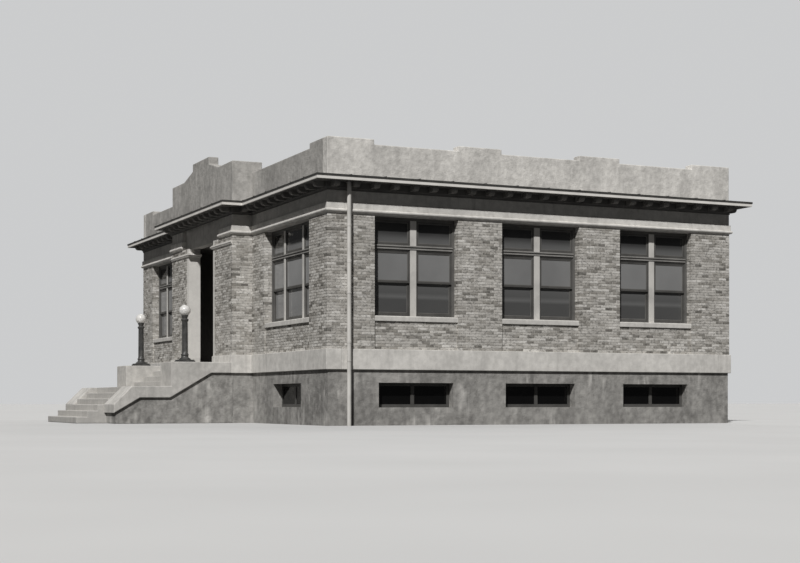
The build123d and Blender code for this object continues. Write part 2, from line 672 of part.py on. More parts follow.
# Steps
upper = steps(STAIR_START, TERRACE_EDGE, FLOOR_TOP, UPPER_RISERS) + [(LANDING_START, 0)]
lower = steps(LANDING_START, LANDING_EDGE, LANDING_TOP, LOWER_RISERS)
write("upper_flight", side_profile(upper, -INNER_CHEEK, INNER_CHEEK))
write("lower_flight", side_profile(lower, -INNER_CHEEK, INNER_CHEEK))
cheek_wall, cheek_base = cheek()
write("cheek_walls", pair(cheek_wall))
write("cheek_bases", pair(cheek_base))

# Lamps and downspouts
write("lamp_posts", pair(lamp_post()))
write("lamp_globes", pair(lamp_globe()))
write("downspouts", pair(downspout()))
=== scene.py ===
import random
from math import atan2, cos, pi, radians, sin, tan

import bmesh
import bpy
from mathutils import Matrix, Vector


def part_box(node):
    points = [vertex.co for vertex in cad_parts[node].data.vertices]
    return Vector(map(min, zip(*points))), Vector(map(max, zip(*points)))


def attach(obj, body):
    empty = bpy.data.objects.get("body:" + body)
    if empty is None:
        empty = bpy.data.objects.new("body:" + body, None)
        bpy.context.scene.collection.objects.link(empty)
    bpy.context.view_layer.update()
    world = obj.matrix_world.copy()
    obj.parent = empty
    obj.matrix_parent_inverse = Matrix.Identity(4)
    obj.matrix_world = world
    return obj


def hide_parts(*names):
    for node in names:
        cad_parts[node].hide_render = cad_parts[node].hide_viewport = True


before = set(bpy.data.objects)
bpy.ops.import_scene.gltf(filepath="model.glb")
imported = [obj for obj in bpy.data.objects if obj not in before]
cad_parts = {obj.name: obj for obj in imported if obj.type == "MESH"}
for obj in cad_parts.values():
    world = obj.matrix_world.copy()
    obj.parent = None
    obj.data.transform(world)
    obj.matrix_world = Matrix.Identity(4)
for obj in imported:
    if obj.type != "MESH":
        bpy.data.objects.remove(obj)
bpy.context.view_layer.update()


# Viewpoint: the photograph's own station, off the right-hand front corner and well below the
# main floor. The camera stands level, so the walls stay upright, and is turned onto the building.
STATION = Vector((39.93, -18.435, 0.56))
AIM = Vector((1.2, -0.65))
FIELD = radians(30.0)
RISE = 0.150
FARTHEST = 500.0

heading = atan2(AIM.y - STATION.y, AIM.x - STATION.x)
lens = bpy.data.cameras.new("view_camera")
lens.sensor_width = 36.0
lens.lens = lens.sensor_width / (2 * tan(FIELD / 2))
lens.shift_y = RISE
lens.clip_end = FARTHEST
camera = bpy.data.objects.new("view_camera", lens)
camera.location = STATION
camera.rotation_euler = (pi / 2, 0.0, heading - pi / 2)
bpy.context.collection.objects.link(camera)
bpy.context.scene.camera = camera


# Light: one lamp, high on the right and a little in front, as the shadows in the photograph
# fall. A weak and very broad one lifts the two sides turned away. The surround is pale to the
# camera, dimmer where panes mirror it, and throws only a little light of its own.
SUN_BEARING = radians(-38)
SUN_HEIGHT = radians(44.5)
SUN_SPREAD = 2.0
SUN_STRENGTH = 5.6
BACK_BEARING = radians(140)
BACK_HEIGHT = radians(32)
BACK_SPREAD = 60.0
BACK_STRENGTH = 1.9
FILL = 0.11
MIRRORED = 0.14
SURROUND = 1.03
EXPOSURE = -0.75


def lamp(name, strength, spread, bearing, height):
    """A distant lamp that shines from a bearing and a height, over a spread in degrees."""
    light = bpy.data.lights.new(name, "SUN")
    light.energy = strength
    light.angle = radians(spread)
    light.color = (1.0, 0.99, 0.97)
    hung = bpy.data.objects.new(name, light)
    toward = Vector((cos(height) * cos(bearing), cos(height) * sin(bearing), sin(height)))
    hung.rotation_euler = toward.to_track_quat("Z", "Y").to_euler()
    bpy.context.collection.objects.link(hung)


lamp("key_light", SUN_STRENGTH, SUN_SPREAD, SUN_BEARING, SUN_HEIGHT)
lamp("back_light", BACK_STRENGTH, BACK_SPREAD, BACK_BEARING, BACK_HEIGHT)

surround = bpy.data.worlds.new("surround")
surround.use_nodes = True
bpy.context.scene.world = surround
sky = surround.node_tree
soft = sky.nodes["Background"]
soft.inputs["Color"].default_value = (0.98, 0.99, 1.0, 1.0)
seen = sky.nodes.new("ShaderNodeLightPath")
strength = None
for ray, brightness in (("Is Camera Ray", SURROUND), ("Is Glossy Ray", MIRRORED)):
    share = sky.nodes.new("ShaderNodeMath")
    share.operation = "MULTIPLY_ADD"
    sky.links.new(seen.outputs[ray], share.inputs[0])
    share.inputs[1].default_value = brightness - FILL
    share.inputs[2].default_value = FILL
    if strength:
        sky.links.new(strength, share.inputs[2])
    strength = share.outputs[0]
sky.links.new(strength, soft.inputs["Strength"])
bpy.context.scene.view_settings.view_transform = "Standard"
bpy.context.scene.view_settings.exposure = EXPOSURE


# Basement: walls of poured concrete left rough from the forms, with rain streaks and a damp foot,
# standing on a slab. Every finish here is mixed in the same way, so the mixing is set out first.
def tone(value, warmth=0.03):
    """A near-neutral colour of that brightness, slightly warm as old lime and cement are."""
    return (value * (1 + warmth), value, value * (1 - 1.6 * warmth), 1.0)


class Finish:
    """A material on its principled shader, with its patterns laid out in metres."""

    def __init__(self, name, roughness, specular, metallic=0.0):
        self.material = bpy.data.materials.new(name)
        self.material.use_nodes = True
        self.tree = self.material.node_tree
        self.shader = self.tree.nodes["Principled BSDF"]
        self.shader.inputs["Roughness"].default_value = roughness
        self.shader.inputs["Specular IOR Level"].default_value = specular
        self.shader.inputs["Metallic"].default_value = metallic
        self.place = self.node("ShaderNodeTexCoord").outputs["Object"]

    def node(self, kind, **settings):
        made = self.tree.nodes.new(kind)
        for name, value in settings.items():
            setattr(made, name, value)
        return made

    def join(self, source, socket):
        self.tree.links.new(source, socket)

    def mottle(self, size, stretch=(1, 1, 1), detail=4.0, shift=0.0):
        """Cloudy patches of about that size, spread evenly from 0 to 1."""
        spread = self.node("ShaderNodeMapping")
        spread.inputs["Location"].default_value = (shift, 1.7 * shift, 2.3 * shift)
        spread.inputs["Scale"].default_value = [1 / (size * share) for share in stretch]
        cloud = self.node("ShaderNodeTexNoise")
        cloud.inputs["Scale"].default_value = 1.0
        cloud.inputs["Detail"].default_value = detail
        self.join(self.place, spread.inputs["Vector"])
        self.join(spread.outputs[0], cloud.inputs["Vector"])
        return self.grade(cloud.outputs["Fac"], 0.3, 0.7)

    def grade(self, value, low, high, to_low=0.0, to_high=1.0):
        """A value's span from low to high, laid over another span."""
        span = self.node("ShaderNodeMapRange")
        for name, number in zip(("From Min", "From Max", "To Min", "To Max"),
                                (low, high, to_low, to_high)):
            span.inputs[name].default_value = number
        self.join(value, span.inputs["Value"])
        return span.outputs[0]

    def along(self, axis):
        """How far a point lies along X, Y or Z."""
        split = self.node("ShaderNodeSeparateXYZ")
        self.join(self.place, split.inputs[0])
        return split.outputs[axis]

    def sum(self, first, second, how="ADD"):
        """Two values, or a value and a number, added or multiplied."""
        joined = self.node("ShaderNodeMath", operation=how)
        for socket, value in zip(joined.inputs, (first, second)):
            if isinstance(value, (int, float)):
                socket.default_value = value
            else:
                self.join(value, socket)
        return joined.outputs[0]

    def shades(self, value, *stops):
        """Colours along a value, from (place, brightness) or (place, brightness, warmth) stops."""
        ramp = self.node("ShaderNodeValToRGB")
        marks = ramp.color_ramp.elements
        while len(marks) < len(stops):
            marks.new(0.5)
        for mark, stop in zip(marks, stops):
            mark.position = stop[0]
            mark.color = tone(*stop[1:])
        self.join(value, ramp.inputs["Fac"])
        return ramp.outputs["Color"]

    def over(self, share, below, above, how="MIX"):
        """One colour laid over another by a share from 0 to 1."""
        mix = self.node("ShaderNodeMix", data_type="RGBA", blend_type=how)
        for socket, value in zip((mix.inputs[0], mix.inputs[6], mix.inputs[7]),
                                 (share, below, above)):
            if isinstance(value, bpy.types.NodeSocket):
                self.join(value, socket)
            else:
                socket.default_value = value
        return mix.outputs[2]

    def coat(self, colour):
        self.join(colour, self.shader.inputs["Base Color"])

    def relief(self, height, depth):
        """Raises the surface by a pattern, to that depth in metres."""
        bump = self.node("ShaderNodeBump")
        bump.inputs["Strength"].default_value = 1.0
        bump.inputs["Distance"].default_value = depth
        self.join(height, bump.inputs["Height"])
        self.join(bump.outputs[0], self.shader.inputs["Normal"])

    def dress(self, *nodes):
        """Gives this finish to nodes of the frame, as they are."""
        for node in nodes:
            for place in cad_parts[node].material_slots:
                place.material = self.material


def cement_face(name, body, patch, streak, streak_share, grain_depth, shift=0.0, run=0.13,
                bloom=0.0, bloom_share=0.0):
    """A cement, lime or concrete face: clouded, rain-streaked, limy in places, and gritty."""
    face = Finish(name, 0.85, specular=0.2)
    broad = face.mottle(0.9, detail=5.0, shift=shift)
    small = face.mottle(0.15, detail=5.0, shift=shift + 6.0)
    mixed = face.sum(face.sum(broad, 0.5, "MULTIPLY"), face.sum(small, 0.5, "MULTIPLY"))
    clouds = face.shades(mixed, (0.2, patch), (0.8, body))
    runs = face.mottle(run, stretch=(1.0, 1.0, 6.0), detail=4.0, shift=shift + 3.0)
    wide_runs = face.mottle(4 * run, stretch=(1.0, 1.0, 3.0), detail=3.0, shift=shift + 8.0)
    share = face.sum(face.grade(runs, 0.45, 1.0, 0.0, streak_share), wide_runs, "MULTIPLY")
    coat = face.over(share, clouds, tone(streak))
    if bloom:
        lime = face.mottle(0.8 * run, stretch=(1.0, 1.0, 6.0), detail=5.0, shift=shift + 17.0)
        spread = face.mottle(0.7, detail=2.0, shift=shift + 21.0)
        limy = face.sum(face.grade(lime, 0.45, 0.9, 0.0, bloom_share),
                        face.grade(spread, 0.5, 0.9), "MULTIPLY")
        coat = face.over(limy, coat, tone(bloom))
    grit = face.mottle(0.012, detail=3.0)
    specks = face.shades(grit, (0.0, 0.82, 0.0), (1.0, 1.0, 0.0))
    face.coat(face.over(0.6, coat, specks, "MULTIPLY"))
    lumps = face.mottle(0.09, detail=2.0, shift=shift)
    face.relief(face.sum(grit, face.sum(lumps, 1.5, "MULTIPLY")), grain_depth)
    return face


concrete = cement_face("poured_concrete", 0.45, 0.23, 0.17, 0.7, 0.004, run=0.22, bloom=0.66,
                       bloom_share=0.9)
concrete.dress("basement_wall_front", "basement_wall_sides", "basement_wall_rear",
               "basement_floor")


# Water table: a band of cement trowelled smooth round the building at floor level. It oversails
# the basement wall below it and the brick above, and it throws the rain clear.
BAND_OVERSAIL = 0.04
TOUCHING = 1e-5


def shown(name, mesh, finish, rounding=0.0, replaces=()):
    """Puts a mesh up as a piece of the building, with its sharp edges rubbed round."""
    mesh.materials.append(finish.material)
    piece = bpy.data.objects.new(name, mesh)
    bpy.context.collection.objects.link(piece)
    if rounding:
        rub = piece.modifiers.new("rubbed_edges", "BEVEL")
        rub.width = rounding
        rub.segments = 2
        rub.limit_method = "ANGLE"
        rub.angle_limit = radians(30)
        rub.use_clamp_overlap = True
    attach(piece, "root")
    if replaces:
        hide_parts(*replaces)
    return piece


def joined_faces(node):
    """A node's faces, with the corners that touch made one."""
    form = bmesh.new()
    form.from_mesh(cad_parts[node].data)
    bmesh.ops.remove_doubles(form, verts=form.verts, dist=TOUCHING)
    return form


def worn_copy(node, finish, rounding):
    """A copy of a node with its hard edges rubbed round, shown in the node's place."""
    form = joined_faces(node)
    bmesh.ops.dissolve_limit(form, angle_limit=radians(1), verts=form.verts, edges=form.edges)
    mesh = bpy.data.meshes.new(node + "_worn")
    form.to_mesh(mesh)
    form.free()
    for face in mesh.polygons:
        face.material_index = 0
        face.use_smooth = False
    shown(node + "_worn", mesh, finish, rounding, [node])


cement = cement_face("trowelled_cement", 0.80, 0.60, 0.43, 0.5, 0.0012)
for node in ("water_table_front", "water_table_sides", "water_table_rear"):
    worn_copy(node, cement, rounding=0.012)


# Main floor: a plain slab of poured concrete, floated smooth and carried on the basement walls.
# It runs on through the entrance as the floor of the porch.
floor_finish = cement_face("floor_concrete", 0.42, 0.34, 0.25, 0.4, 0.0015)
floor_finish.dress("main_floor")


# Brickwork: the piers between the windows and the recessed aprons below them, in pale pressed
# brick with darker burnt ones scattered through it, laid in stretcher bond in lime mortar.
# The nodes themselves are the mortar, and each brick stands a little proud of its joints.
COURSES = 47
JOINT = 0.010
HALF_BRICK = 0.105
PROUD = 0.007
UNEVEN = 0.0014
ARRIS = 0.0028
BEDDED = 0.002
REVEAL = 0.20
WALL_REACH = 0.5
SIDES = 8
BAY_SIDE = 2


def nearest_to_middle(node):
    """How near a node comes to the building's middle line."""
    return min(abs(corner.co.x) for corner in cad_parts[node].data.vertices)


HALF_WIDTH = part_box("frieze_front")[1].x
HALF_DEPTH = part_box("frieze_rear")[1].y
HALF_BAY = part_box("parapet_bay")[1].x
BAY_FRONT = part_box("parapet_bay")[0].y
HALF_ENTRANCE = nearest_to_middle("entrance_piers")
BRICK_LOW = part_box("corner_piers")[0].z
BRICK_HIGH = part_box("corner_piers")[1].z
COURSE = (BRICK_HIGH - BRICK_LOW) / COURSES


def plan_outline(offset):
    """The plan's corners, anticlockwise from the left end of the front, moved outwards."""
    across, along, bay = HALF_WIDTH + offset, HALF_DEPTH + offset, HALF_BAY + offset
    out = BAY_FRONT - offset
    return [Vector(point) for point in (
        (-across, -along), (-bay, -along), (-bay, out), (bay, out), (bay, -along),
        (across, -along), (across, along), (-across, along))]


def side_of_plan(side):
    """The corner where a side of the plan starts, and its run to the next corner."""
    corners = plan_outline(0)
    return corners[side], corners[(side + 1) % SIDES] - corners[side]


def right_of(direction):
    return Vector((direction.y, -direction.x))


def loose_boxes(node):
    """The lowest and highest corner of each separate solid of a node."""
    form = joined_faces(node)
    left, boxes = set(form.verts), []
    while left:
        reached, island = [left.pop()], []
        while reached:
            corner = reached.pop()
            island.append(corner.co.copy())
            for edge in corner.link_edges:
                following = edge.other_vert(corner)
                if following in left:
                    left.remove(following)
                    reached.append(following)
        boxes.append((Vector([min(p[i] for p in island) for i in range(3)]),
                      Vector([max(p[i] for p in island) for i in range(3)])))
    form.free()
    return sorted(boxes, key=lambda box: tuple(round(c, 4) for c in box[0]))


def find_openings():
    """Each gap in the brick as its side of the plan, its two ends along it, and its reveal."""
    found = [(BAY_SIDE, HALF_BAY - HALF_ENTRANCE, HALF_BAY + HALF_ENTRANCE, False)]
    for node in ("window_frames_front", "window_frames_sides", "window_frames_rear"):
        for low, high in loose_boxes(node):
            middle = ((low + high) / 2).to_2d()
            half = max(high.x - low.x, high.y - low.y) / 2
            for side in range(SIDES):
                corner, run = side_of_plan(side)
                along = run.normalized()
                place = (middle - corner).dot(along)
                depth = -(middle - corner).dot(right_of(along))
                if 0 < place < run.length and 0 < depth < WALL_REACH:
                    found.append((side, place - half, place + half, True))
    return sorted(found)


def brick_paths(openings):
    """The brick faces in plan, from each opening's reveal round to the next one's."""
    corners = plan_outline(0)
    paths = []
    for opening, following in zip(openings, openings[1:] + openings[:1]):
        points = []
        for step, (side, near, far, reveal) in enumerate((opening, following)):
            corner, run = side_of_plan(side)
            along = run.normalized()
            edge = corner + along * (near if step else far)
            deep = edge - right_of(along) * REVEAL
            if step == 0:
                points += [deep, edge] if reveal else [edge]
                turn = side
                while turn != following[0]:
                    turn = (turn + 1) % SIDES
                    points.append(corners[turn])
            else:
                points += [edge, deep] if reveal else [edge]
        paths.append(points)
    return paths


class Brickwork:
    """Bricks gathered for one mesh, with a tone for each."""

    def __init__(self):
        self.corners, self.faces, self.tones = [], [], []

    def brick(self, corner, along, start, end, level, deep):
        """One brick with a chamfered face, from start to end along a wall's foot."""
        out = right_of(along)
        proud = PROUD + random.uniform(-UNEVEN, UNEVEN)
        high = level + COURSE - JOINT
        first = len(self.corners)
        for away, inset in ((-deep, 0.0), (proud - ARRIS, 0.0), (proud, ARRIS)):
            for reach, lift in ((start + inset, level + inset), (end - inset, level + inset),
                                (end - inset, high - inset), (start + inset, high - inset)):
                at = corner + along * reach + out * away
                self.corners.append((at.x, at.y, lift))
        for ring in (0, 4):
            for side in range(4):
                following = (side + 1) % 4
                self.faces.append([first + ring + side, first + ring + following,
                                   first + ring + 4 + following, first + ring + 4 + side])
        self.faces.append([first + 8, first + 9, first + 10, first + 11])
        self.tones += [random.random()] * 9

    def wall(self, points, courses):
        """Lays courses along a path, turning each outer corner with whole bricks."""
        runs = [b - a for a, b in zip(points, points[1:])]
        bends = [a.normalized().cross(b.normalized()) > 0.5 for a, b in zip(runs, runs[1:])]
        phase = 0
        for corner, run, outer_start, outer_end in zip(points, runs, [False] + bends,
                                                       bends + [False]):
            along, length = run.normalized(), run.length
            halves = max(1, round((length + JOINT) / HALF_BRICK))
            half = (length + JOINT) / halves
            for course in range(courses):
                level = BRICK_LOW + course * COURSE + JOINT / 2
                place = 0
                while place < halves:
                    whole = place > 0 or course % 2 == phase
                    size = min(2 if whole else 1, halves - place)
                    at_start, at_end = place == 0, place + size == halves
                    lone = size == 1
                    if not (lone and (at_start and outer_start or at_end and outer_end)):
                        start = place * half
                        end = (place + size) * half - JOINT
                        deep = BEDDED
                        if at_start and outer_start:
                            start, deep = -PROUD, half - JOINT
                        if at_end and outer_end:
                            end, deep = length + PROUD, half - JOINT
                        self.brick(corner, along, start, end, level, deep)
                    place += size
            phase = 1 - phase if halves % 2 == 0 else phase

    def piece(self, name, finish):
        mesh = bpy.data.meshes.new(name)
        mesh.from_pydata(self.corners, [], self.faces)
        shade = mesh.attributes.new("brick_tone", "FLOAT", "FACE")
        shade.data.foreach_set("value", self.tones)
        shown(name, mesh, finish)


mortar = cement_face("lime_mortar", 0.64, 0.50, 0.40, 0.4, 0.002)
mortar.dress("corner_piers", "entrance_piers", "wall_piers", "window_aprons")

pressed_brick = Finish("pressed_brick", 0.88, specular=0.2)
burnt = pressed_brick.node("ShaderNodeAttribute", attribute_name="brick_tone")
brick_body = pressed_brick.shades(burnt.outputs["Fac"], (0.0, 0.17, 0.06), (0.09, 0.33, 0.06),
                                  (0.27, 0.47, 0.05), (0.5, 0.555, 0.04), (0.75, 0.64, 0.04),
                                  (1.0, 0.80, 0.03))
soot = pressed_brick.mottle(0.5, detail=5.0, shift=5.0)
weathered = pressed_brick.over(pressed_brick.grade(soot, 0.0, 1.0, 0.0, 0.35), brick_body,
                               tone(0.34, 0.04))
flashed = pressed_brick.mottle(0.06, stretch=(1.2, 1.2, 0.8), detail=3.0, shift=9.0)
flashing = pressed_brick.shades(flashed, (0.1, 0.44, 0.0), (0.45, 0.93, 0.0), (0.9, 1.0, 0.0))
burned = pressed_brick.over(0.85, weathered, flashing, "MULTIPLY")
brick_grit = pressed_brick.mottle(0.014, detail=4.0)
spots = pressed_brick.shades(brick_grit, (0.0, 0.72, 0.0), (0.5, 1.0, 0.0))
pressed_brick.coat(pressed_brick.over(0.7, burned, spots, "MULTIPLY"))
pressed_brick.relief(brick_grit, 0.0025)

random.seed(1915)
openings = find_openings()
wall_names = ["brick_front"] * 5 + ["brick_right", "brick_rear", "brick_left"]
work = {name: Brickwork() for name in wall_names}
for opening, path in zip(openings, brick_paths(openings)):
    work[wall_names[opening[0]]].wall(path, COURSES)

apron_low, apron_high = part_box("window_aprons")
apron_courses = round((apron_high.z - apron_low.z) / COURSE)
apron_recess = HALF_WIDTH - apron_high.x
for side, near, far, reveal in openings:
    if reveal:
        corner, run = side_of_plan(side)
        along = run.normalized()
        base = corner - right_of(along) * apron_recess
        work[wall_names[side]].wall([base + along * near, base + along * far], apron_courses)
for name, bricks in work.items():
    bricks.piece(name, pressed_brick)


# Sills: cast cement, one to each window, bedded on the apron and slipped in between the piers.
# The face stands just behind the brick's, the top is weathered to shed rain, and a groove under
# the rounded nose lets the drops fall clear of the apron.
SILL_SET_BACK = 0.044
SILL_FALL = 0.016
SILL_NOSE = 0.022
SILL_LOWER_NOSE = 0.012
DRIP_DEPTH = 0.007
DRIP_WIDTH = 0.010
FRAME_SEAT = REVEAL + BAND_OVERSAIL


class Joinery:
    """Cut pieces gathered for one mesh."""

    def __init__(self):
        self.corners, self.faces = [], []

    def add(self, corners, faces, place=Matrix.Identity(4)):
        first = len(self.corners)
        self.corners += [place @ Vector(corner) for corner in corners]
        self.faces += [[first + index for index in face] for face in faces]

    def skin(self, rings, place=Matrix.Identity(4), joined=False):
        """Faces over rings of as many points each, closed at the ends or joined end to end."""
        count, last = len(rings[0]), len(rings) - 1
        faces = []
        for ring in range(len(rings) if joined else last):
            near, far = ring * count, (ring + 1) % len(rings) * count
            for at in range(count):
                following = (at + 1) % count
                faces.append([near + at, near + following, far + following, far + at])
        if not joined:
            faces += [list(range(count))[::-1], [last * count + at for at in range(count)]]
        self.add([point for ring in rings for point in ring], faces, place)

    def prism(self, place, profile, x):
        """A length along x of an outline of (y, z) points, anticlockwise as seen from +x."""
        self.skin([[(a, y, z) for y, z in profile] for a in x], place)

    def box(self, place, x, y, z):
        self.prism(place, [(y[0], z[0]), (y[1], z[0]), (y[1], z[1]), (y[0], z[1])], x)

    def piece(self, name, finish, slot, rounding=0.0, replaces=()):
        mesh = bpy.data.meshes.new(name)
        mesh.from_pydata(self.corners, [], self.faces)
        return shown(name, mesh, finish, rounding, replaces)


def turned_out(middle, on_side_wall):
    """The turn that points -y out of the building at a place on its side, front or rear wall."""
    if on_side_wall:
        return pi / 2 if middle.x > 0 else -pi / 2
    return 0.0 if middle.y < 0 else pi


def wall_place(low, high):
    """The middle of a box's outer face at its foot, with -y pointing out of the wall."""
    middle = (low + high) / 2
    on_side_wall = high.x - low.x <= high.y - low.y
    if on_side_wall:
        face = Vector((high.x if middle.x > 0 else low.x, middle.y, low.z))
    else:
        face = Vector((middle.x, low.y if middle.y < 0 else high.y, low.z))
    return Matrix.Translation(face) @ Matrix.Rotation(turned_out(middle, on_side_wall), 4, "Z")


def arc(centre, radius, start, end, steps):
    """Points of a round part of a profile, in degrees, 90 being up."""
    turns = [radians(start + (end - start) * step / steps) for step in range(steps + 1)]
    return [(centre[0] + radius * cos(turn), centre[1] + radius * sin(turn)) for turn in turns]


sill_cement = cement_face("sill_cement", 0.72, 0.58, 0.40, 0.5, 0.0012, shift=3.0)
sills = Joinery()
for low, high in loose_boxes("window_sills"):
    depth, width = sorted((high.x - low.x, high.y - low.y))
    height = high.z - low.z
    nose = SILL_SET_BACK + SILL_NOSE
    profile = arc((SILL_SET_BACK + SILL_LOWER_NOSE, SILL_LOWER_NOSE), SILL_LOWER_NOSE, 180, 270, 3)
    profile += [(nose, 0.0), (nose, DRIP_DEPTH), (nose + DRIP_WIDTH, DRIP_DEPTH),
                (nose + DRIP_WIDTH, 0.0)]
    profile += [(depth, 0.0), (depth, height), (FRAME_SEAT, height)]
    profile += arc((nose, height - SILL_FALL - SILL_NOSE), SILL_NOSE, 95, 180, 5)
    sills.prism(wall_place(low, high), profile, (-width / 2, width / 2))
sills.piece("sills", sill_cement, "cement", 0.0, ["window_sills"])


# Windows: wood frames built into the brick, each with a pair or a row of double-hung sashes
# below a transom bar, and fixed lights above it. Pale boards cover the mullions. The jambs, the
# transom bars and the sashes are dark, with paler beads and putty.
FRAME_DEPTH = 0.13
FRAME_FACE = 0.06
BOARD = 0.014
TRANSOM = (1.55, 1.68)
TRANSOM_FACE = (1.575, 1.66)
TRANSOM_PROUD = 0.004
LOWER_BEAD = (0.018, 0.012)
UPPER_BEAD = (0.022, 0.022)
BEAD_SLOPE = 0.008
MEETING = 0.81
SASH_FACE = 0.05
SASH_DEPTH = 0.04
SASH_PLAY = 0.001
BOTTOM_RAIL = 0.08
SIDE_MULLION = 0.16
FRONT_MULLION = 0.08
FRONT_OFFSET = 0.64
BEAD = 0.014
PUTTY_SEAT = (0.006, 0.016)


def painted(name, body, worn, roughness):
    """Oil paint on wood: brushed along the grain, chalked, and worn thin in places."""
    paint = Finish(name, roughness, specular=0.35)
    brushed = paint.mottle(0.02, stretch=(1.0, 1.0, 6.0), detail=3.0)
    chalk = paint.mottle(0.4, detail=5.0, shift=2.0)
    coat = paint.shades(chalk, (0.0, worn), (0.6, body), (1.0, body * 1.06))
    lines = paint.shades(brushed, (0.0, 0.86, 0.0), (0.7, 1.0, 0.0))
    paint.coat(paint.over(0.5, coat, lines, "MULTIPLY"))
    paint.relief(brushed, 0.0006)
    return paint


pale_paint = painted("pale_paint", 0.62, 0.50, 0.55)
frame_paint = painted("frame_paint", 0.13, 0.10, 0.5)
sash_paint = painted("sash_paint", 0.09, 0.065, 0.45)
bead_paint = painted("bead_paint", 0.27, 0.20, 0.6)
putty = painted("putty", 0.15, 0.11, 0.6)


def light_spans(width, mullion, offset):
    """The clear widths between the jambs and the mullions."""
    half = width / 2 - FRAME_FACE
    if offset:
        return [(-half, -offset - mullion / 2), (mullion / 2 - offset, offset - mullion / 2),
                (offset + mullion / 2, half)]
    return [(-half, -mullion / 2), (mullion / 2, half)]


def frame_bars(frames, boards, bars, place, width, height, spans, lap):
    """The dark frame, the pale boards on its mullions, and two beads along its transom bar."""
    deep = (BOARD, FRAME_DEPTH)
    half = width / 2
    head = height - FRAME_FACE
    foot, top = TRANSOM_FACE
    edges = [-half] + [end for span in spans for end in span] + [half]
    clear = (edges[1], edges[-2])
    for left, right in zip(edges[::2], edges[1::2]):
        if left == -half or right == half:
            frames.box(place, (left, right), (0.0, FRAME_DEPTH), (0.0, head))
        else:
            frames.box(place, (left, right), deep, (0.0, head))
            for z in ((0.0, foot), (top, head)):
                boards.box(place, (left - lap, right + lap), (0.0, BOARD), z)
    frames.box(place, (-half, half), (0.0, FRAME_DEPTH), (head, height))
    frames.box(place, clear, (-TRANSOM_PROUD, BOARD), TRANSOM_FACE)
    for low, (tall, out) in ((foot, LOWER_BEAD), (top - UPPER_BEAD[0], UPPER_BEAD)):
        bars.prism(place, [(-out, low), (-TRANSOM_PROUD, low),
                           (-TRANSOM_PROUD, low + tall + BEAD_SLOPE), (-out, low + tall)], clear)
    for span in spans:
        frames.box(place, span, deep, TRANSOM)


def four_bars(made, place, x, y, z, face, foot, head):
    """Two uprights at the ends of x, and a level bar between them at the foot and the head."""
    for ends in ((x[0], x[0] + face), (x[1] - face, x[1])):
        made.box(place, ends, y, z)
    for levels in ((z[0], z[0] + foot), (z[1] - head, z[1])):
        made.box(place, (x[0] + face, x[1] - face), y, levels)


def sash_bars(sashes, beads, place, span, low, high, depth, bottom):
    """Two stiles and two rails, and the putty that holds the glass in them."""
    four_bars(sashes, place, span, (depth, depth + SASH_DEPTH), (low, high), SASH_FACE, bottom,
              SASH_FACE)
    four_bars(beads, place, (span[0] + SASH_FACE, span[1] - SASH_FACE),
              (depth + PUTTY_SEAT[0], depth + PUTTY_SEAT[1]), (low + bottom, high - SASH_FACE),
              BEAD, BEAD, BEAD)


def stop_beads(frames, place, span, low, high):
    """Thin beads on the frame that keep the outer sash in its groove."""
    left, right = span
    y = (BOARD, FRAME_DEPTH / 2 - SASH_DEPTH - SASH_PLAY)
    frames.box(place, (left, left + BEAD), y, (low, high))
    frames.box(place, (right - BEAD, right), y, (low, high))
    frames.box(place, (left + BEAD, right - BEAD), y, (high - BEAD, high))


for wall, mullion, offset in (("front", FRONT_MULLION, FRONT_OFFSET), ("sides", SIDE_MULLION, 0),
                              ("rear", SIDE_MULLION, 0)):
    node = "window_frames_" + wall
    frames, boards, bars, sashes, beads = [Joinery() for kind in range(5)]
    for low, high in loose_boxes(node):
        place = wall_place(low, high)
        width, height = max(high.x - low.x, high.y - low.y), high.z - low.z
        spans = light_spans(width, mullion, offset)
        frame_bars(frames, boards, bars, place, width, height, spans, BEAD if offset else 0.0)
        outer = FRAME_DEPTH / 2 - SASH_DEPTH
        head = height - FRAME_FACE
        for span in spans:
            for foot, top, depth, bottom in (
                    (TRANSOM[1], head, outer, SASH_FACE),
                    (MEETING - SASH_FACE / 2, TRANSOM[0], outer, SASH_FACE),
                    (0.0, MEETING + SASH_FACE / 2, outer + SASH_DEPTH, BOTTOM_RAIL)):
                sash_bars(sashes, beads, place, span, foot, top, depth, bottom)
            stop_beads(frames, place, span, 0.0, TRANSOM[0])
            stop_beads(frames, place, span, TRANSOM[1], head)
    frames.piece(f"frames_{wall}", frame_paint, "painted_wood", 0.003, [node])
    boards.piece(f"mullion_boards_{wall}", pale_paint, "painted_wood", 0.003, [node])
    bars.piece(f"transom_beads_{wall}", bead_paint, "painted_wood", 0.0, [node])
    sashes.piece(f"sashes_{wall}", sash_paint, "painted_wood", 0.003, [node])
    beads.piece(f"putty_{wall}", putty, "painted_wood", 0.0, [node])


# Glass: old drawn sheet, slightly wavy, puttied into the sashes. Its colour paints the dim rooms
# behind it as painted shade, paler between the meeting rails and the transom bars where shades
# hang half drawn, with painted shadow at the top under the heads and a brighter painted
# reflection on the front panes. The basement's panes below the sills are painted near black.
SILL_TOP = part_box("window_frames_sides")[0].z
WINDOW_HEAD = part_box("window_frames_sides")[1].z
FRONT_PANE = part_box("window_frames_front")[1].y

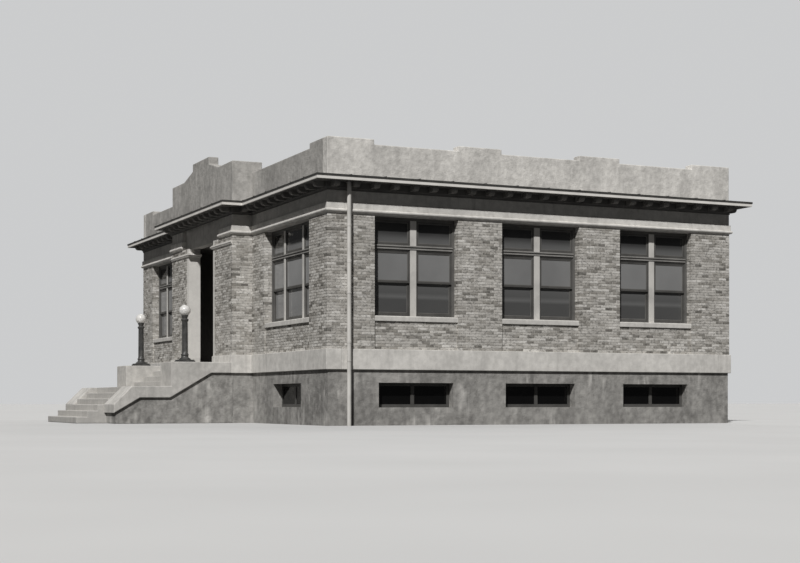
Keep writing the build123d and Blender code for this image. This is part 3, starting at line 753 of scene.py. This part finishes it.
panes = Finish("window_glass", 0.05, specular=0.28)
level = panes.grade(panes.along("Z"), SILL_TOP, WINDOW_HEAD)
# Side and rear panes: dim rooms as painted shade, paler where the shades hang, and painted shadow
# darkening the top under the heads.
side_pane_light_and_shade = panes.shades(level, (0.0, 0.068, 0.0), (0.17, 0.080, 0.0), (0.20, 0.15, 0.0),
                          (0.24, 0.10, 0.0), (0.34, 0.125, 0.0), (0.355, 0.24, 0.0),
                          (0.65, 0.25, 0.0), (0.68, 0.19, 0.0), (0.79, 0.12, 0.0),
                          (0.84, 0.05, 0.0), (1.0, 0.004, 0.0))
# Front panes: brighter all over as a painted reflection, with the same painted shadow at the top.
front_pane_light_and_shade = panes.shades(level, (0.0, 0.25, 0.0), (0.33, 0.31, 0.0), (0.355, 0.32, 0.0),
                           (0.65, 0.35, 0.0), (0.68, 0.24, 0.0), (0.79, 0.22, 0.0),
                           (0.85, 0.02, 0.0), (1.0, 0.002, 0.0))
inside = panes.grade(panes.along("Y"), FRONT_PANE, FRONT_PANE + 0.05)
pane_light_and_shade = panes.over(inside, front_pane_light_and_shade, side_pane_light_and_shade)
dust = panes.mottle(1.1, detail=3.0, shift=1.3)
hazy = panes.over(panes.grade(dust, 0.0, 1.0, 0.0, 0.30), pane_light_and_shade, tone(0.10, 0.0))
# Panes below the sills go near black: painted shade of the unlit basement.
below = panes.grade(panes.along("Z"), SILL_TOP - 0.4, SILL_TOP - 0.2)
panes.coat(panes.over(below, tone(0.004, 0.0), hazy))
panes.relief(panes.mottle(0.35, detail=1.0, shift=4.0), 0.0012)
panes.dress("glass")


# Basement windows: two fixed lights side by side in a low frame of painted wood, with the panes
# puttied in. The frame is wedged deep in its opening in the concrete.
HALF_BAR = 0.035

low_frames = Joinery()
for low, high in loose_boxes("basement_window_frames"):
    place = wall_place(low, high)
    half, height = max(high.x - low.x, high.y - low.y) / 2, high.z - low.z
    deep = (0.0, SASH_DEPTH)
    for x in ((-half, FRAME_FACE - half), (-HALF_BAR, HALF_BAR), (half - FRAME_FACE, half)):
        low_frames.box(place, x, deep, (0.0, height))
    for x in ((FRAME_FACE - half, -HALF_BAR), (HALF_BAR, half - FRAME_FACE)):
        for z in ((0.0, FRAME_FACE), (height - FRAME_FACE, height)):
            low_frames.box(place, x, deep, z)
        four_bars(low_frames, place, x, PUTTY_SEAT, (FRAME_FACE, height - FRAME_FACE), BEAD,
                  BEAD, BEAD)
low_frames.piece("basement_frames", sash_paint, "painted_wood", 0.003,
                 ["basement_window_frames"])


# Porch: a vestibule wider than its opening. The jambs are lined with white plaster as deep as
# the wall. Behind them the walls and the ceiling are plastered, and their near-black colour is
# painted shade.
JAMB_END = BAY_FRONT + 0.35
PAINT_EDGE = 0.005

plaster = cement_face("porch_plaster", 0.76, 0.68, 0.55, 0.3, 0.0010)
lining = plaster.shader.inputs["Base Color"].links[0].from_socket
# Past the end of the jambs the plaster turns near black, which is painted shade.
painted_shade_share = plaster.grade(plaster.along("Y"), JAMB_END - PAINT_EDGE, JAMB_END)
plaster.coat(plaster.over(painted_shade_share, lining, tone(0.09)))
plaster.dress("porch_walls")
# The back wall and the ceiling are near black as well: painted shade.
porch_painted_shade = cement_face("porch_painted_shade", 0.11, 0.08, 0.05, 0.3, 0.0010)
porch_painted_shade.dress("porch_back_wall", "porch_ceiling")


# Entrance doors: a closed pair in varnished wood, glazed over a sunk panel, hung on butts and
# opened by upright pulls of dark bronze. They stand at the back of the porch, in its shadow.
FACE_SET_BACK = 0.03
STILE_MIDDLE = 0.06
PULL_LEVEL = 1.02
PULL_PLATE = (0.025, (-0.004, 0.0), 0.16)
PULL_POST = (0.009, (-0.05, -0.004), 0.009)
PULL_GRIP = (0.011, (-0.066, -0.048), 0.13)
POST_LEVELS = (-0.11, 0.11)
BUTT = (0.008, (-0.012, 0.0), 0.05)
BUTT_LEVELS = (0.25, 1.15, 2.05)

varnish = Finish("door_varnish", 0.35, specular=0.5)
fibres = varnish.mottle(0.012, stretch=(1.0, 1.0, 18.0), detail=6.0)
cathedral = varnish.mottle(0.12, stretch=(1.0, 1.0, 8.0), detail=4.0, shift=1.5)
grain = varnish.shades(fibres, (0.0, 0.035, 0.30), (0.55, 0.085, 0.28), (1.0, 0.12, 0.26))
varnish.coat(varnish.over(varnish.grade(cathedral, 0.0, 1.0, 0.0, 0.5), grain, tone(0.05, 0.3)))
varnish.relief(fibres, 0.0008)
varnish.dress("entrance_doors")

bronze = Finish("dark_bronze", 0.4, specular=0.5, metallic=0.9)
rubbed = bronze.mottle(0.03, detail=4.0)
bronze.coat(bronze.shades(rubbed, (0.0, 0.05, 0.12), (1.0, 0.16, 0.14)))
bronze.relief(rubbed, 0.0003)

door_low, door_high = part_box("entrance_doors")
door_face = (door_low.y + door_high.y) / 2 - FACE_SET_BACK
pulls = Joinery()


def fitting(place, size, level=0.0):
    """A bar or plate of half a width, a depth and half a height, about a level on the door."""
    half_wide, deep, half_tall = size
    pulls.box(place, (-half_wide, half_wide), deep, (level - half_tall, level + half_tall))


for side in (-1, 1):
    pull = Matrix.Translation((side * STILE_MIDDLE, door_face, door_low.z + PULL_LEVEL))
    fitting(pull, PULL_PLATE)
    for level in POST_LEVELS:
        fitting(pull, PULL_POST, level)
    fitting(pull, PULL_GRIP)
    hinge = Matrix.Translation((side * (door_high.x - STILE_MIDDLE), door_face, door_low.z))
    for level in BUTT_LEVELS:
        fitting(hinge, BUTT, level)
pulls.piece("door_pulls", bronze, "iron", 0.003)


# Imposts: a run cement moulding that caps each entrance pier and turns into the opening, where
# it stands out three times as far. It has a hollow, a fillet and a round nose.
HOLLOW = 0.022
FILLET = 0.034
NOSE_ROUND = 0.03
NOSE_LEVEL = 0.066

impost_low, impost_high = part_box("imposts")
impost_nose = BAY_FRONT - impost_low.y
jamb = nearest_to_middle("porch_walls")
turn_in = jamb - nearest_to_middle("imposts")
impost_profile = arc((FILLET, impost_low.z), HOLLOW, 180, 90, 5)
impost_profile += [(FILLET, impost_low.z + 0.034)]
impost_profile += arc((impost_nose - NOSE_ROUND, impost_low.z + NOSE_LEVEL), NOSE_ROUND, -80, 80,
                      8)
impost_profile += [(0.030, impost_high.z - 0.008), (0.028, impost_high.z)]
for side in (-1, 1):
    rings = []
    for out, level in impost_profile:
        inner = jamb - out * turn_in / impost_nose
        ring = [(HALF_BAY, BAY_FRONT - out), (HALF_BAY, BAY_FRONT), (jamb, BAY_FRONT),
                (jamb, impost_high.y), (inner, impost_high.y), (inner, BAY_FRONT - out)]
        ring = [(side * x, y, level) for x, y in ring]
        rings.append(ring if side > 0 else ring[::-1])
    impost = Joinery()
    impost.skin(rings)
    impost.piece("impost_left" if side < 0 else "impost_right", cement, "cement", 0.0,
                 ["imposts"])


# Frieze: the plain wall between the window heads and the eave. It is brick rendered in stucco,
# floated on in two coats and left mid-grey.
stucco = cement_face("stucco", 0.62, 0.48, 0.34, 0.6, 0.003, shift=11.0)
stucco.dress("frieze_front", "frieze_sides", "frieze_rear")


# Belt course: a cement moulding run in place at the window heads, with a hollow below, a
# half-round bead and a flat fascia above. It turns into the recess over the entrance.
BEAD_SPAN = (0.030, 0.115)
BELT_FASCIA = 0.035


def run_round(name, profile, finish, slot, replaces=(), half_gap=0.0, gap_end=0.0):
    """A moulding of (offset, height) points run round the plan, mitred at its corners."""
    loops = []
    for offset, height in profile:
        loop = plan_outline(offset)
        if half_gap:
            ends = [Vector((half_gap - offset, gap_end)),
                    Vector((half_gap - offset, BAY_FRONT - offset))]
            mirrored = [Vector((-point.x, point.y)) for point in ends[::-1]]
            loop = ends + loop[3:] + loop[:3] + mirrored
        loops.append([(point.x, point.y, height) for point in loop])
    sections = list(zip(*loops))[::-1]
    moulding = Joinery()
    moulding.skin(sections, joined=not half_gap)
    moulding.piece(name, finish, slot, 0.0, replaces)


belt_low, belt_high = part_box("belt_course")
belt_nose = belt_high.x - HALF_WIDTH
bead_low = belt_low.z + BEAD_SPAN[0]
bead_high = belt_low.z + BEAD_SPAN[1]
bead_radius = (bead_high - bead_low) / 2
belt_profile = [(0.0, belt_low.z)]
belt_profile += arc((belt_nose - bead_radius, belt_low.z), belt_nose - bead_radius, 170, 95, 4)
belt_profile += arc((belt_nose - bead_radius, bead_low + bead_radius), bead_radius, -85, 85, 10)
belt_profile += [(BELT_FASCIA, bead_high + 0.006), (BELT_FASCIA, belt_high.z - 0.008),
                 (BELT_FASCIA - 0.005, belt_high.z - 0.002), (0.0, belt_high.z)]
frieze_faces = sorted({round(corner.co.y, 4)
                       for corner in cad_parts["frieze_front"].data.vertices})
run_round("belt_moulding", belt_profile, cement, "cement", ["belt_course"],
          belt_nose + nearest_to_middle("belt_course"), frieze_faces[1])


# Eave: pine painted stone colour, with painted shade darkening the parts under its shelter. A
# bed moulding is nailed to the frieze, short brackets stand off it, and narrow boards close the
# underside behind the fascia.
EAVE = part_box("eave_fascia")[1].x - HALF_WIDTH
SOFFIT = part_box("roof_slab")[0].z
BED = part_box("bed_moulding")[1].x - HALF_WIDTH
BED_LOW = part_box("bed_moulding")[0].z
BED_FILLET = 0.016
BOARDS = 4
BOARD_GAP = 0.005
BOARD_THICKNESS = 0.012
BRACKET_CURVE = 0.095
FASCIA_BACK = EAVE - 0.025
LIP = 0.012
LIP_CHAMFER = 0.004

# The bed moulding, soffit boards and brackets are coloured dark: painted shade under the eave.
eave_painted_shade = painted("eave_painted_shade", 0.13, 0.09, 0.7)
bracket_painted_shade = painted("bracket_painted_shade", 0.19, 0.13, 0.7)
fascia_paint = painted("fascia_paint", 0.84, 0.74, 0.6)

bed_profile = [(0.0, BED_LOW), (BED_FILLET, BED_LOW)]
bed_profile += arc((BED, BED_LOW + 0.03), BED - BED_FILLET, 180, 90, 5)
bed_profile += [(BED, SOFFIT), (0.0, SOFFIT)]
run_round("bed_mould", bed_profile, eave_painted_shade, "painted_wood", ["bed_moulding"])

board = (FASCIA_BACK - BED) / BOARDS
for index in range(BOARDS):
    near = BED + index * board
    far = near + board - BOARD_GAP
    run_round(f"soffit_board_{index + 1}",
              [(near, SOFFIT - BOARD_THICKNESS), (far, SOFFIT - BOARD_THICKNESS), (far, SOFFIT),
               (near, SOFFIT)], eave_painted_shade, "painted_wood")

brackets = Joinery()
for low, high in loose_boxes("eave_brackets"):
    size = high - low
    middle = (low + high) / 2
    half_wide, half_reach = sorted((size.x / 2, size.y / 2))
    place = (Matrix.Translation((middle.x, middle.y, high.z))
             @ Matrix.Rotation(turned_out(middle, size.x > size.y), 4, "Z"))
    profile = [(half_reach, 0.0), (-half_reach, 0.0)]
    profile += arc((BRACKET_CURVE - half_reach, BRACKET_CURVE - size.z), BRACKET_CURVE, 180, 270, 6)
    profile += [(half_reach, -size.z)]
    brackets.prism(place, profile, (-half_wide, half_wide))
brackets.piece("brackets", bracket_painted_shade, "painted_wood", 0.004, ["eave_brackets"])

fascia_low, fascia_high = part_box("eave_fascia")
lip_low = fascia_low.z - LIP
run_round("fascia_board", [(FASCIA_BACK, lip_low), (EAVE - LIP_CHAMFER, lip_low),
                           (EAVE, lip_low + LIP_CHAMFER), (EAVE, fascia_high.z),
                           (FASCIA_BACK, fascia_high.z)],
          fascia_paint, "painted_wood", ["eave_fascia"])


# Roof: a flat deck of tar and gravel behind the parapet. Outside it, painted sheet metal covers
# the eave, turned down over the fascia in a dark drip edge, with standing seams across it.
ROOF_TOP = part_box("roof_slab")[1].z
DRIP_OUT = 0.012
DRIP_EDGE = EAVE + DRIP_OUT
SEAM_PITCH = 0.9
SEAM_END = 0.005 - DRIP_EDGE

gravel = Finish("tar_and_gravel", 0.9, specular=0.2)
stones = gravel.mottle(0.02, detail=6.0)
damp = gravel.mottle(1.6, detail=5.0, shift=7.0)
deck = gravel.shades(stones, (0.0, 0.06), (0.5, 0.16), (1.0, 0.30))
gravel.coat(gravel.over(gravel.grade(damp, 0.4, 1.0, 0.0, 0.5), deck, tone(0.09)))
gravel.relief(stones, 0.012)
gravel.dress("roof_slab", "bay_roof_slab")

eave_metal = Finish("eave_metal", 0.5, specular=0.4)
chalked = eave_metal.mottle(0.3, detail=5.0)
eave_metal.coat(eave_metal.shades(chalked, (0.0, 0.035), (1.0, 0.07)))
eave_metal.relief(chalked, 0.001)

run_round("eave_flashing", [(0.0, ROOF_TOP), (FASCIA_BACK, ROOF_TOP), (EAVE, ROOF_TOP - 0.030),
                            (DRIP_EDGE, ROOF_TOP - 0.034), (DRIP_EDGE, ROOF_TOP + 0.004),
                            (DRIP_EDGE - DRIP_OUT, ROOF_TOP + 0.012), (0.0, ROOF_TOP + 0.035)],
          eave_metal, "painted_wood")
seams = Joinery()
for side in range(SIDES):
    start, run = side_of_plan(side)
    count = max(1, round(run.length / SEAM_PITCH))
    angle = atan2(run.y, run.x)
    for index in range(count):
        spot = start + run * ((index + 0.5) / count)
        place = Matrix.Translation((spot.x, spot.y, ROOF_TOP)) @ Matrix.Rotation(angle, 4, "Z")
        seams.prism(place, [(SEAM_END, 0.006), (0.0, 0.034), (0.0, 0.058), (SEAM_END, 0.026)],
                    (-0.006, 0.006))
seams.piece("flashing_seams", eave_metal, "painted_wood")


# Parapet: brick rendered in stucco, raised over the piers, with a stepped tablet over the
# entrance. The render is stained below its top edge, where rain runs off.
# One render in two brightnesses: paler on the sides and rear as painted light, darker on the street
# faces as painted shade.
side_stucco_painted_light = cement_face("parapet_stucco_painted_light", 0.86, 0.57, 0.40, 0.55, 0.003, shift=23.0, run=0.2,
                          bloom=0.92, bloom_share=0.6)
street_stucco_painted_shade = cement_face("street_stucco_painted_shade", 0.54, 0.34, 0.27, 0.5, 0.003, shift=27.0, run=0.2,
                            bloom=0.68, bloom_share=0.5)
for node, coat_with_painted_light in (("parapet_front", street_stucco_painted_shade), ("parapet_bay", street_stucco_painted_shade),
                          ("parapet_sides", side_stucco_painted_light), ("parapet_rear", side_stucco_painted_light)):
    worn_copy(node, coat_with_painted_light, rounding=0.018)


# Steps: two flights of concrete with a landing between them, poured in place between the side
# walls. Their nosings are rubbed round by use.
step_concrete = cement_face("step_concrete", 0.56, 0.47, 0.36, 0.5, 0.002, shift=31.0)
for node in ("upper_flight", "lower_flight"):
    worn_copy(node, step_concrete, rounding=0.012)


# Side walls of the steps: blocks and slopes faced in trowelled cement, which step down with the
# flights. They oversail a base of rougher, limy concrete.
cheek_cement = cement_face("cheek_cement", 0.66, 0.48, 0.38, 0.5, 0.0015, shift=41.0)
base_concrete = cement_face("base_concrete", 0.48, 0.22, 0.15, 0.8, 0.004, shift=47.0, run=0.24,
                            bloom=0.70, bloom_share=1.0)
worn_copy("cheek_walls", cheek_cement, rounding=0.016)
worn_copy("cheek_bases", base_concrete, rounding=0.010)


# Lamps: cast-iron posts, painted black, fluted between a turned foot and a cap, each with one
# opal glass globe in a thin ring. A square plinth is bolted down on the side wall's block.
FLUTES = 10
FLUTE_DEPTH = 0.012
FLUTED = (0.29, 1.02)
POST_SIDES = 120
GLOBE_SIDES = 64
GLOBE_RINGS = 32


def turned(profile, at, sides, fluted=None):
    """A form turned about an upright axis, with its shaft scalloped between two heights."""
    rings = []
    for radius, height in profile:
        ring = []
        for step in range(sides):
            angle = 2 * pi * step / sides
            reach = radius
            if fluted and fluted[0] <= height <= fluted[1]:
                reach -= FLUTE_DEPTH * abs(sin(FLUTES * angle / 2)) ** 0.7
            ring.append((at.x + reach * cos(angle), at.y + reach * sin(angle), at.z + height))
        rings.append(ring)
    form = Joinery()
    form.skin(rings)
    return form


def smooth(made):
    """Shades a turned piece as round, with its sharper edges left crisp."""
    for face in made.data.polygons:
        face.use_smooth = True
    made.data.set_sharp_from_angle(angle=radians(35))


iron = Finish("lamp_iron", 0.45, specular=0.5)
pitted = iron.mottle(0.008, detail=4.0)
faded = iron.mottle(0.15, detail=5.0, shift=3.0)
iron.coat(iron.shades(faded, (0.0, 0.035, 0.0), (1.0, 0.085, 0.02)))
iron.relief(pitted, 0.0008)

opal = Finish("opal_glass", 0.22, specular=0.5)
milk = opal.mottle(0.12, detail=2.0)
opal.coat(opal.shades(milk, (0.0, 0.68, 0.02), (1.0, 0.74, 0.02)))
opal.shader.inputs["Subsurface Weight"].default_value = 0.9
opal.shader.inputs["Subsurface Radius"].default_value = (1.0, 1.0, 1.0)
opal.shader.inputs["Subsurface Scale"].default_value = 0.3

for side, (low, high), (globe_low, globe_high) in zip(
        ("left", "right"), loose_boxes("lamp_posts"), loose_boxes("lamp_globes")):
    axis = Vector(((low.x + high.x) / 2, (low.y + high.y) / 2, low.z))
    radius = (globe_high.x - globe_low.x) / 2
    centre = (globe_low.z + globe_high.z) / 2 - low.z
    cup = centre - radius * 0.86
    plinth = Joinery()
    for half, z in (((high.x - low.x) / 2, (0.0, 0.045)),
                    ((high.x - low.x) / 2 - 0.02, (0.045, 0.07))):
        plinth.box(Matrix.Translation(axis), (-half, half), (-half, half), z)
    plinth.piece(f"lamp_plinth_{side}", iron, "iron", 0.006, ["lamp_posts"])
    profile = [(0.150, 0.07), (0.152, 0.085), (0.140, 0.10), (0.112, 0.118), (0.096, 0.135),
               (0.088, 0.165), (0.098, 0.178), (0.102, 0.195), (0.098, 0.212), (0.086, 0.224),
               (0.082, 0.245), (0.080, 0.25), (0.079, 0.30), (0.074, 1.01), (0.073, 1.06),
               (0.078, 1.07), (0.092, 1.088), (0.097, 1.10), (0.097, 1.118), (0.084, 1.130),
               (0.068, 1.142), (0.066, 1.165), (0.080, 1.19), (0.092, cup + 0.01),
               (0.088, cup + 0.024)]
    shaft = turned(profile, axis, POST_SIDES, FLUTED)
    smooth(shaft.piece(f"lamp_post_{side}", iron, "iron", 0.0, ["lamp_posts"]))
    ball = arc((0.0, centre), radius, 180 / GLOBE_RINGS - 90, 90 - 180 / GLOBE_RINGS,
               GLOBE_RINGS - 2)
    globe = turned(ball, axis, GLOBE_SIDES)
    smooth(globe.piece(f"lamp_globe_{side}", opal, "globe_glass", 0.0, ["lamp_globes"]))


# Downspouts: round pipe of painted sheet metal, in lengths that slip into each other at collars,
# held off the wall by a strap at three heights.
PIPE_SIDES = 32
COLLAR_LEVELS = (1.9, 3.75)
COLLAR_PROUD = 0.005
STRAP_LEVELS = (1.48, 3.04, 4.6)
STRAP_HEIGHT = 0.04
STRAP = 0.006
STAY = 0.018

pipe_paint = painted("pipe_paint", 0.66, 0.52, 0.5)
for side, (low, high) in zip(("left", "right"), loose_boxes("downspouts")):
    radius = (high.y - low.y) / 2 - STRAP
    outward = 1 if high.x > 0 else -1
    stand = abs(high.x if outward > 0 else low.x) - STRAP - radius
    axis = Vector((outward * stand, (low.y + high.y) / 2, 0.0))
    profile = [(radius, low.z)]
    for collar in COLLAR_LEVELS:
        profile += [(radius, collar), (radius + COLLAR_PROUD, collar + 0.004),
                    (radius + COLLAR_PROUD, collar + 0.07), (radius, collar + 0.074)]
    profile.append((radius, high.z))
    pipe = turned(profile, axis, PIPE_SIDES)
    straps = Joinery()
    for level in STRAP_LEVELS:
        wall = HALF_WIDTH + (BAND_OVERSAIL if level < BRICK_LOW else 0.0)
        pipe.box(Matrix.Translation(axis), sorted((-outward * (stand - wall), 0.0)), (-STAY, STAY),
                 (level, level + STRAP_HEIGHT))
        ring = turned([(radius + STRAP, level), (radius + STRAP, level + STRAP_HEIGHT)], axis,
                      PIPE_SIDES)
        straps.add(ring.corners, ring.faces)
    smooth(pipe.piece(f"downspout_{side}", pipe_paint, "sheet_metal", 0.0, ["downspouts"]))
    smooth(straps.piece(f"downspout_straps_{side}", pipe_paint, "sheet_metal"))


# Floor of the studio: plain and pale, level with the foot of the walls. It throws little light
# back up, so that the shade under the eaves stays as deep as in the photograph.
HALF_FLOOR = 300
FLOOR_DROP = 0.002

studio = Finish("studio_floor", 0.9, specular=0.0)
pale_floor = studio.shades(studio.mottle(3.0, detail=2.0), (0.0, 0.60, 0.0), (1.0, 0.63, 0.0))
looked_at = studio.node("ShaderNodeLightPath").outputs["Is Camera Ray"]
studio.coat(studio.over(looked_at, tone(0.11, 0.0), pale_floor))
mesh = bpy.data.meshes.new("studio_floor")
mesh.from_pydata([(x * HALF_FLOOR, y * HALF_FLOOR, -FLOOR_DROP)
                  for x, y in ((-1, -1), (1, -1), (1, 1), (-1, 1))], [], [(0, 1, 2, 3)])
mesh.materials.append(studio.material)
floor = bpy.data.objects.new("studio_floor", mesh)
bpy.context.collection.objects.link(floor)
